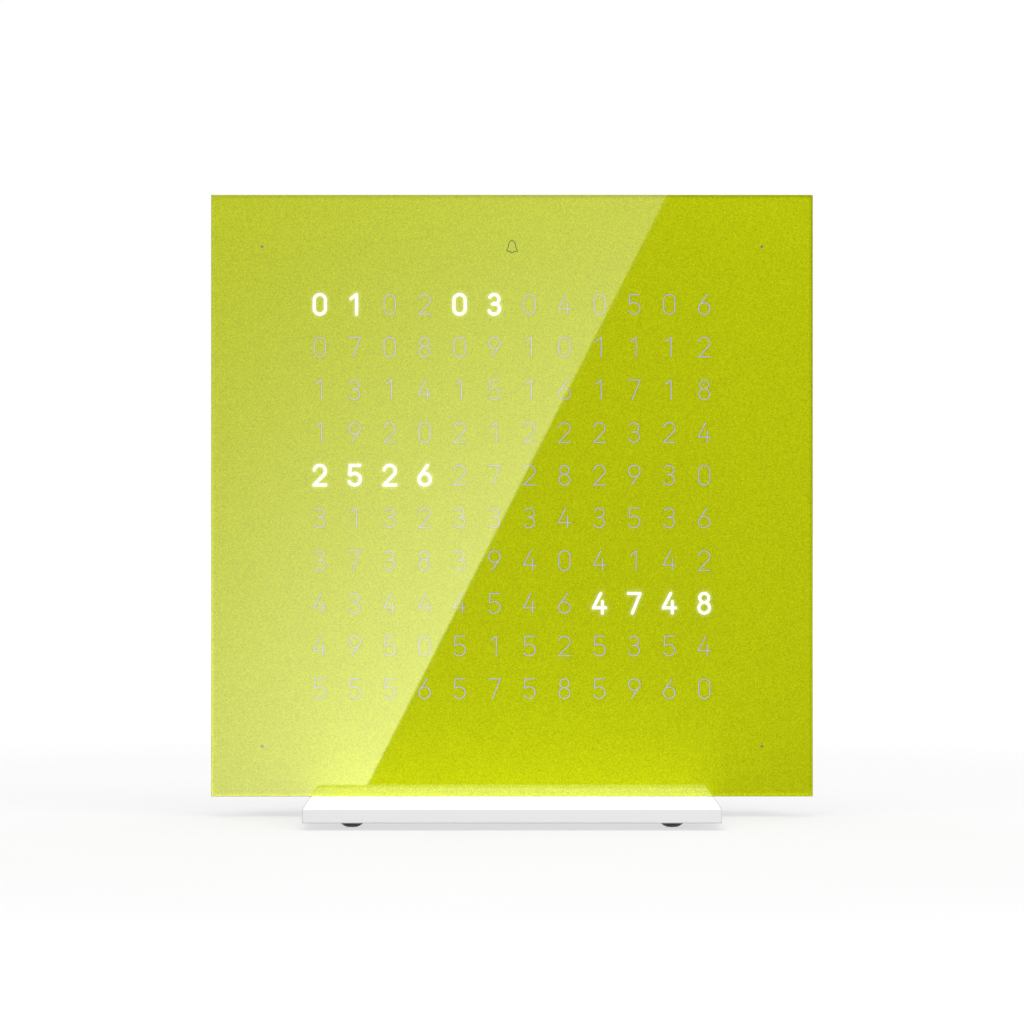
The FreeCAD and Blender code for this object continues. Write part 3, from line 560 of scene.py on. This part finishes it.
def build_cover():
    half = COVER / 2 - EDGE
    v2, tris, mats, glow = artwork(half)
    n = len(v2)
    verts = [(x * MM, FACE_Y * MM, (z + ZC) * MM) for x, z in v2]
    faces = [tuple(t) for t in tris]
    # the front triangles look towards -Y
    out = []
    for f in faces:
        a, b, c = (v2[i] for i in f[:3])
        ccw = (b[0] - a[0]) * (c[1] - a[1]) - (b[1] - a[1]) * (c[0] - a[0]) > 0
        out.append(f if ccw else f[::-1])
    faces = out
    idx = list(mats)
    ring = []
    for h, y in ((half, FACE_Y), (COVER / 2, FACE_Y + EDGE), (COVER / 2, BACK_Y - EDGE), (half, BACK_Y)):
        if y == FACE_Y:
            corner = [int(np.argmin(np.abs(v2 - c).sum(1))) for c in ((-half, -half), (half, -half), (half, half), (-half, half))]
            ring.append(corner)
            continue
        k = len(verts)
        for sx, sz in ((-1, -1), (1, -1), (1, 1), (-1, 1)):
            verts.append((sx * h * MM, y * MM, (ZC + sz * h) * MM))
        ring.append([k, k + 1, k + 2, k + 3])
    side_of = ("bottom", "right", "top", "left")
    # painted light and shade for the chamfer faces
    shade = {}
    for level, (r0, r1) in enumerate(zip(ring[:-1], ring[1:])):
        for i in range(4):
            j = (i + 1) % 4
            if level == 0:
                shade[len(faces)] = CHAMFER_PAINTED_LIGHT[side_of[i]]
            faces.append((r0[j], r0[i], r1[i], r1[j]))
            idx.append(5)
    faces.append(tuple(ring[-1][::-1]))
    idx.append(6)
    faces = [tuple(int(q) for q in f) for f in faces]
    o = mesh_object("cover_face", verts, faces, (M_LIME, M_WALL_SHADE, M_UNLIT, M_LIT, M_SIGN, M_EDGE, M_COVER_BACK, M_DOT), idx)
    a = o.data.attributes.new("glow", "FLOAT", "POINT")
    g = np.zeros(len(verts), np.float32)
    g[:n] = glow
    a.data.foreach_set("value", g)
    # painted light and shade per corner: near the edges of the face, above the base, and on each chamfer
    b = o.data.attributes.new("painted_light_and_shade", "FLOAT", "CORNER")
    r = np.ones(len(o.data.loops), np.float32)
    at = np.concatenate([painted_light_and_shade(v2[:, 0], v2[:, 1]), np.ones(len(verts) - n)])
    front = len(tris)
    for p in o.data.polygons:
        if p.index < front:
            for li in p.loop_indices:
                r[li] = at[o.data.loops[li].vertex_index]
        elif p.index in shade:
            for li in p.loop_indices:
                at_end = o.data.vertices[o.data.loops[li].vertex_index].co.x > 0
                r[li] = shade[p.index][1 if at_end else 0]
    b.data.foreach_set("value", r)
    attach(o, "front_cover")
    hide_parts("cover_plate")
    return o


cover = build_cover()

# ---------------------------------------------------------------------------
# finishes of the carried-over pieces
# ---------------------------------------------------------------------------
WHITE_COAT = powder_coat("white_powder_coat", (232, 232, 232))
BASE_COAT = plate_coat_painted_edge_shade("white_plate_coat_edge_shade", (237, 237, 237), *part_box("base_plate"))
WHITE_CASE = plastic("white_case", (232, 232, 230), rough=0.48, grain=2600.0, depth=0.03, vary=0.015)
WHITE_FRAME = plastic("white_frame", (228, 229, 227), rough=0.4, grain=1500.0, depth=0.015, vary=0.02)
DIFFUSER = plastic("diffuser_sheet_white", (240, 240, 236), rough=0.55, grain=1200.0, depth=0.01, vary=0.01)
GRID = plastic("light_grid_white", (236, 236, 232), rough=0.6)
BLACK = plastic("black_moulding", (30, 30, 32), rough=0.5, grain=1800.0, depth=0.02, vary=0.08)
GREY = plastic("button_grey", (126, 129, 131), rough=0.42, grain=2200.0, depth=0.015, vary=0.04)
RUBBER = plastic("dark_rubber", (48, 48, 48), rough=0.72, grain=2400.0, depth=0.02, vary=0.08)
PRINT = window("colour_print", (120, 128, 20))
FILM = plastic("translucent_film", (226, 227, 221), rough=0.35, grain=800.0, depth=0.005, vary=0.01)
BUTTON = button("button_grey_marked", (126, 129, 131), 9.0 + 0.97)
ZINC = metal("zinc_steel", (172, 175, 180), 0.32)
NICKEL = metal("nickel", (186, 184, 178), 0.16)
BRASS = metal("brass", (196, 162, 92), 0.24)
COPPER = metal("copper_foil", (200, 128, 90), 0.3, brushed=True)
ALU = metal("can_aluminium", (192, 194, 198), 0.34, brushed=True)
BOARD = plastic("board_solder_mask", (222, 227, 222), rough=0.3, grain=500.0, depth=0.01, vary=0.02)
LED = plastic("led_package", (246, 232, 170), rough=0.3, vary=0.03)
PIPE = plastic("light_pipe", (238, 240, 240), rough=0.15, depth=0.003, vary=0.01)

FINISH = {
    "cover_print": PRINT, "window_film": FILM, "strike_discs": ZINC, "front_frame": WHITE_FRAME, "magnets": NICKEL,
    "light_pipes": PIPE, "diffuser_sheet": DIFFUSER, "light_grid": GRID, "led_board": BOARD, "leds": LED,
    "microcontroller": BLACK, "led_drivers": BLACK, "clock_crystal": NICKEL, "capacitors": ALU,
    "voltage_regulator": BLACK, "buzzer": BLACK, "coin_cell_holder": BLACK, "coin_cell": NICKEL,
    "cell_contact": NICKEL, "switch_bodies": BLACK, "mode_plunger": GREY, "minus_plunger": GREY,
    "plus_plunger": GREY, "mode_button": BUTTON, "minus_button": BUTTON, "plus_button": BUTTON, "dc_jack": BLACK,
    "dc_jack_pin": BRASS, "rear_shell": WHITE_CASE, "battery_door": WHITE_CASE, "housing_screws": ZINC,
    "board_screws": ZINC, "touch_electrode": COPPER, "touch_contact": NICKEL, "stand_neck": WHITE_COAT,
    "base_plate": BASE_COAT, "base_screws": ZINC, "threaded_inserts": BRASS, "rubber_feet": RUBBER,
}
for name, mat in FINISH.items():
    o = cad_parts[name]
    o.data.materials.clear()
    o.data.materials.append(mat)

# ---------------------------------------------------------------------------
# camera
# ---------------------------------------------------------------------------
D = 865.0                        # mm from the camera to the face
FIELD = 1024 / 4.4575            # mm seen at the face
cam_data = bpy.data.cameras.new("camera")
cam = bpy.data.objects.new("camera", cam_data)
bpy.context.scene.collection.objects.link(cam)
cam.location = (0, (FACE_Y - D) * MM, ZC * MM)
cam.rotation_euler = (math.radians(90), 0, 0)
cam_data.sensor_width = 36.0
cam_data.lens = 36.0 * D / FIELD
cam_data.shift_x = 0.0
cam_data.shift_y = -16.4 / 1024
cam_data.clip_start, cam_data.clip_end = 0.05, 30
bpy.context.scene.camera = cam

# ---------------------------------------------------------------------------
# stage: floor, bright surround, lights
# ---------------------------------------------------------------------------


def emitter(name, rgb, strength):
    mat = bpy.data.materials.new(name)
    mat.use_nodes = True
    t = mat.node_tree
    t.nodes.clear()
    out = t.nodes.new("ShaderNodeOutputMaterial")
    e = t.nodes.new("ShaderNodeEmission")
    e.inputs["Color"].default_value = (*rgb, 1.0)
    e.inputs["Strength"].default_value = strength
    t.links.new(e.outputs[0], out.inputs["Surface"])
    return mat


def disc(name, radius, z, n=64):
    v = [(radius * math.cos(2 * math.pi * i / n), radius * math.sin(2 * math.pi * i / n), z) for i in range(n)]
    return mesh_object(name, v, [tuple(range(n))])


floor = disc("floor", 6.0, 0.0, 96)
fm = Nodes("pale_floor")
fm.set(Roughness=0.8, Specular_IOR_Level=0.0)
fm.color(fm.mix(fm.noise(30.0, 2.0), (0.205, 0.205, 0.205, 1), (0.21, 0.21, 0.21, 1)))
fm.bsdf.inputs["Emission Color"].default_value = (1, 1, 1, 1)
f_len = fm.t.nodes.new("ShaderNodeVectorMath")
f_len.operation = "LENGTH"
fm.link(fm.coord, f_len.inputs[0])
fm.link(fm.ramp(f_len.outputs["Value"], 0.2, 1.1, 0.63, 1.01), fm.bsdf.inputs["Emission Strength"])
fm.link(fm.bsdf.outputs[0], fm.out.inputs["Surface"])
floor.data.materials.append(fm.mat)
floor.visible_glossy = floor.visible_diffuse = floor.visible_shadow = False

# a bright surround that only the camera sees
rings, segs = 24, 48
v, f = [], []
for i in range(rings + 1):
    a = math.pi * i / rings
    for j in range(segs):
        b = 2 * math.pi * j / segs
        v.append((6.5 * math.sin(a) * math.cos(b), 6.5 * math.sin(a) * math.sin(b), 6.5 * math.cos(a)))
for i in range(rings):
    for j in range(segs):
        k = (j + 1) % segs
        f.append((i * segs + j, i * segs + k, (i + 1) * segs + k, (i + 1) * segs + j))
surround = mesh_object("surround", v, f)
surround.data.materials.append(emitter("surround_white", (1, 1, 1), 1.005))
surround.visible_diffuse = surround.visible_glossy = surround.visible_transmission = surround.visible_shadow = False

# gradient soft box behind the camera, seen only as the highlight in the face
L = 1300.0                       # mm from the face
K = 1 + L / D                    # how much larger than its image in the face


def at_card(x, z):
    """Point of the card whose image in the face is at (x, z) from its middle."""
    return (x * K * MM, (FACE_Y - L) * MM, (ZC + z * K) * MM)


top, bottom = (34.8 + (80 - 67.5) * 0.508, 80.0), (-32.3 - (80 - 64.6) * 0.508, -80.0)
SOFT = 0.35                      # mm, width of its soft edge in the face
cv = [at_card(-90, -80), at_card(bottom[0] + SOFT, bottom[1]), at_card(top[0] + SOFT, top[1]), at_card(-90, 80)]
card = mesh_object("soft_box", cv, [(0, 1, 2, 3)])
cm = bpy.data.materials.new("soft_box_light")
cm.use_nodes = True
ct = cm.node_tree
ct.nodes.clear()
c_out = ct.nodes.new("ShaderNodeOutputMaterial")
c_em = ct.nodes.new("ShaderNodeEmission")
c_em.inputs["Color"].default_value = (1.0, 1.0, 1.0, 1.0)
geo = ct.nodes.new("ShaderNodeTexCoord")
sep = ct.nodes.new("ShaderNodeSeparateXYZ")
ct.links.new(geo.outputs["Object"], sep.inputs[0])


def cmath(op, a, b=0.0, clamp=False):
    n = ct.nodes.new("ShaderNodeMath")
    n.operation = op
    n.use_clamp = clamp
    for i, q in enumerate((a, b)):
        if isinstance(q, (int, float)):
            n.inputs[i].default_value = q
        else:
            ct.links.new(q, n.inputs[i])
    return n.outputs[0]


px = cmath("DIVIDE", sep.outputs["X"], K * MM)
pz = cmath("DIVIDE", cmath("SUBTRACT", sep.outputs["Z"], ZC * MM), K * MM)
# a wide soft spot, brightest low down and to the right
ux, uz = cmath("DIVIDE", px, 60.0), cmath("DIVIDE", pz, 60.0)
fade = cmath("ADD", cmath("MULTIPLY", uz, -0.6115), 1.7612)
fade = cmath("ADD", fade, cmath("MULTIPLY", cmath("MULTIPLY", uz, uz), -0.212))
fade = cmath("ADD", fade, cmath("MULTIPLY", ux, 0.2916))
fade = cmath("ADD", fade, cmath("MULTIPLY", cmath("MULTIPLY", ux, uz), 0.226))
fade = cmath("ADD", fade, cmath("MULTIPLY", cmath("MULTIPLY", ux, ux), -0.3239))
glow_ = cmath("EXPONENT", fade)
# soft edge along the slant: signed distance from the line
dx, dz = top[0] - bottom[0], top[1] - bottom[1]
ln = math.hypot(dx, dz)
dist = cmath("DIVIDE", cmath("SUBTRACT", cmath("MULTIPLY", cmath("SUBTRACT", pz, bottom[1]), dx),
                             cmath("MULTIPLY", cmath("SUBTRACT", px, bottom[0]), dz)), ln)
edge = cmath("ADD", cmath("DIVIDE", dist, SOFT), 0.5, clamp=True)
ct.links.new(cmath("MULTIPLY", glow_, edge), c_em.inputs["Strength"])
ct.links.new(c_em.outputs[0], c_out.inputs["Surface"])
card.data.materials.append(cm)
card.visible_camera = card.visible_shadow = False


# the studio's tall slanting light panels, seen only as gloss on the object. They leave a dark gap straight in
# front, so that the face mirrors them only towards the sides and above.
rings, segs = 24, 48
v, f = [], []
for i in range(rings + 1):
    a = math.pi * i / rings
    for j in range(segs):
        b = 2 * math.pi * j / segs
        v.append((5.0 * math.sin(a) * math.cos(b), 5.0 * math.sin(a) * math.sin(b), 5.0 * math.cos(a)))
for i in range(rings):
    for j in range(segs):
        k = (j + 1) % segs
        f.append((i * segs + j, i * segs + k, (i + 1) * segs + k, (i + 1) * segs + j))
panels = mesh_object("light_panels", v, f)
pm = Nodes("light_panels_white")
p_em = pm.t.nodes.new("ShaderNodeEmission")
pm.t.links.new(p_em.outputs[0], pm.out.inputs["Surface"])
p_sep = pm.t.nodes.new("ShaderNodeSeparateXYZ")
pm.link(pm.coord, p_sep.inputs[0])
p_az = pm.math("MULTIPLY", pm.math("ARCTAN2", p_sep.outputs["X"], pm.math("MULTIPLY", p_sep.outputs["Y"], -1.0)), 180 / math.pi)
p_el = pm.math("MULTIPLY", pm.math("ARCSINE", pm.math("DIVIDE", pm.math("SUBTRACT", p_sep.outputs["Z"], ZC * MM), 5.0)), 180 / math.pi)
# position across the panels, in steps of 18 degrees, with their upper edge leaning to the right
p_s = pm.math("SUBTRACT", p_az, pm.math("MULTIPLY", p_el, 0.508))
p_f = pm.math("FRACT", pm.math("DIVIDE", pm.math("ADD", p_s, 33.8 + 1800.0), 18.0))
p_on = pm.math("MULTIPLY", pm.ramp(p_f, 0.0, 0.04, 0.0, 1.0), pm.ramp(p_f, 0.43, 0.46, 1.0, 0.0))
p_cos = pm.math("ABSOLUTE", pm.math("DIVIDE", p_sep.outputs["Y"], 5.0))
p_level = pm.math("ADD", 0.3, pm.math("MULTIPLY", pm.math("POWER", p_cos, 1.5), 3.0))
p_fade = pm.ramp(p_f, 0.0, 0.46, 0.55, 1.0)
p_light = pm.math("ADD", 0.35, pm.math("MULTIPLY", pm.math("MULTIPLY", p_on, p_fade), p_level))
p_r = pm.math("SQRT", pm.math("ADD", pm.math("MULTIPLY", p_az, p_az), pm.math("MULTIPLY", p_el, p_el)))
pm.link(pm.math("MULTIPLY", p_light, pm.ramp(p_r, 8.5, 12.5, 0.0, 1.0)), p_em.inputs["Strength"])
panels.data.materials.append(pm.mat)
panels.visible_camera = panels.visible_diffuse = panels.visible_shadow = panels.visible_transmission = False


# low light over the front of the base, seen only as the base's bright mirror image in the face
b_lo, b_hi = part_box("base_plate")
zs = b_hi[2] + 0.00003
strip = mesh_object("base_light", [(b_lo[0] + 0.0002, b_lo[1] + 0.0002, zs), (b_hi[0] - 0.0002, b_lo[1] + 0.0002, zs),
                                   (b_hi[0] - 0.0002, FACE_Y * MM - 0.0001, zs), (b_lo[0] + 0.0002, FACE_Y * MM - 0.0001, zs)],
                    [(0, 1, 2, 3)])
strip_mat = emitter("base_light_white", (1.0, 1.05, 0.89), 4.0)
st = strip_mat.node_tree
s_co = st.nodes.new("ShaderNodeTexCoord")
s_sep = st.nodes.new("ShaderNodeSeparateXYZ")
s_map = st.nodes.new("ShaderNodeMapRange")
s_map.inputs["From Min"].default_value, s_map.inputs["From Max"].default_value = (FACE_Y - 26.2) * MM, (FACE_Y - 25.0) * MM
s_map.inputs["To Min"].default_value, s_map.inputs["To Max"].default_value = 2.2, 4.15
st.links.new(s_co.outputs["Object"], s_sep.inputs[0])
st.links.new(s_sep.outputs["Y"], s_map.inputs["Value"])
# weaker where the gloss of the face meets it from high above
s_low = st.nodes.new("ShaderNodeLayerWeight")
s_low.inputs["Blend"].default_value = 0.5
s_fade = st.nodes.new("ShaderNodeMapRange")
s_fade.inputs["From Min"].default_value, s_fade.inputs["From Max"].default_value = 0.2, 0.62
s_fade.inputs["To Min"].default_value, s_fade.inputs["To Max"].default_value = 0.25, 1.0
s_mul = st.nodes.new("ShaderNodeMath")
s_mul.operation = "MULTIPLY"
st.links.new(s_low.outputs["Facing"], s_fade.inputs["Value"])
st.links.new(s_map.outputs[0], s_mul.inputs[0])
st.links.new(s_fade.outputs[0], s_mul.inputs[1])
# and a little stronger towards the left
s_side = st.nodes.new("ShaderNodeMapRange")
s_side.inputs["From Min"].default_value, s_side.inputs["From Max"].default_value = -45.0 * MM, 45.0 * MM
s_side.inputs["To Min"].default_value, s_side.inputs["To Max"].default_value = 1.24, 0.99
s_all = st.nodes.new("ShaderNodeMath")
s_all.operation = "MULTIPLY"
st.links.new(s_sep.outputs["X"], s_side.inputs["Value"])
st.links.new(s_mul.outputs[0], s_all.inputs[0])
st.links.new(s_side.outputs[0], s_all.inputs[1])
st.links.new(s_all.outputs[0], st.nodes["Emission"].inputs["Strength"])
strip.data.materials.append(strip_mat)
strip.visible_camera = strip.visible_diffuse = strip.visible_shadow = strip.visible_transmission = False


def area(name, loc, target, size, power, size_y=None, spread=None):
    d = bpy.data.lights.new(name, "AREA")
    d.shape = "RECTANGLE"
    d.size = size
    d.size_y = size_y or size
    d.energy = power
    if spread:
        d.spread = spread
    o = bpy.data.objects.new(name, d)
    bpy.context.scene.collection.objects.link(o)
    o.location = loc
    o.rotation_euler = (Vector(target) - Vector(loc)).to_track_quat("-Z", "Y").to_euler()
    return o


area("overhead", (0.0, -0.15, 1.2), (0, 0, 0.05), 1.3, 16.4)
area("key_left", (-1.25, -0.95, 0.85), (0, 0, 0.07), 0.8, 4.5)
area("fill_right", (1.35, -0.8, 0.7), (0, 0, 0.07), 0.8, 9.6)
area("back_left", (-0.9, 1.2, 0.9), (0, 0, 0.07), 0.7, 4.0)
area("back_right", (1.0, 1.1, 0.8), (0, 0, 0.07), 0.7, 4.0)

world = bpy.data.worlds.new("studio")
bpy.context.scene.world = world
world.use_nodes = True
bg = world.node_tree.nodes["Background"]
bg.inputs["Color"].default_value = (1, 1, 1, 1)
bg.inputs["Strength"].default_value = 0.56
world.cycles_visibility.glossy = False
world.cycles_visibility.camera = False

sc = bpy.context.scene
sc.view_settings.view_transform = "Standard"
sc.view_settings.look = "None"
sc.view_settings.exposure = 0.0
sc.view_settings.gamma = 1.0
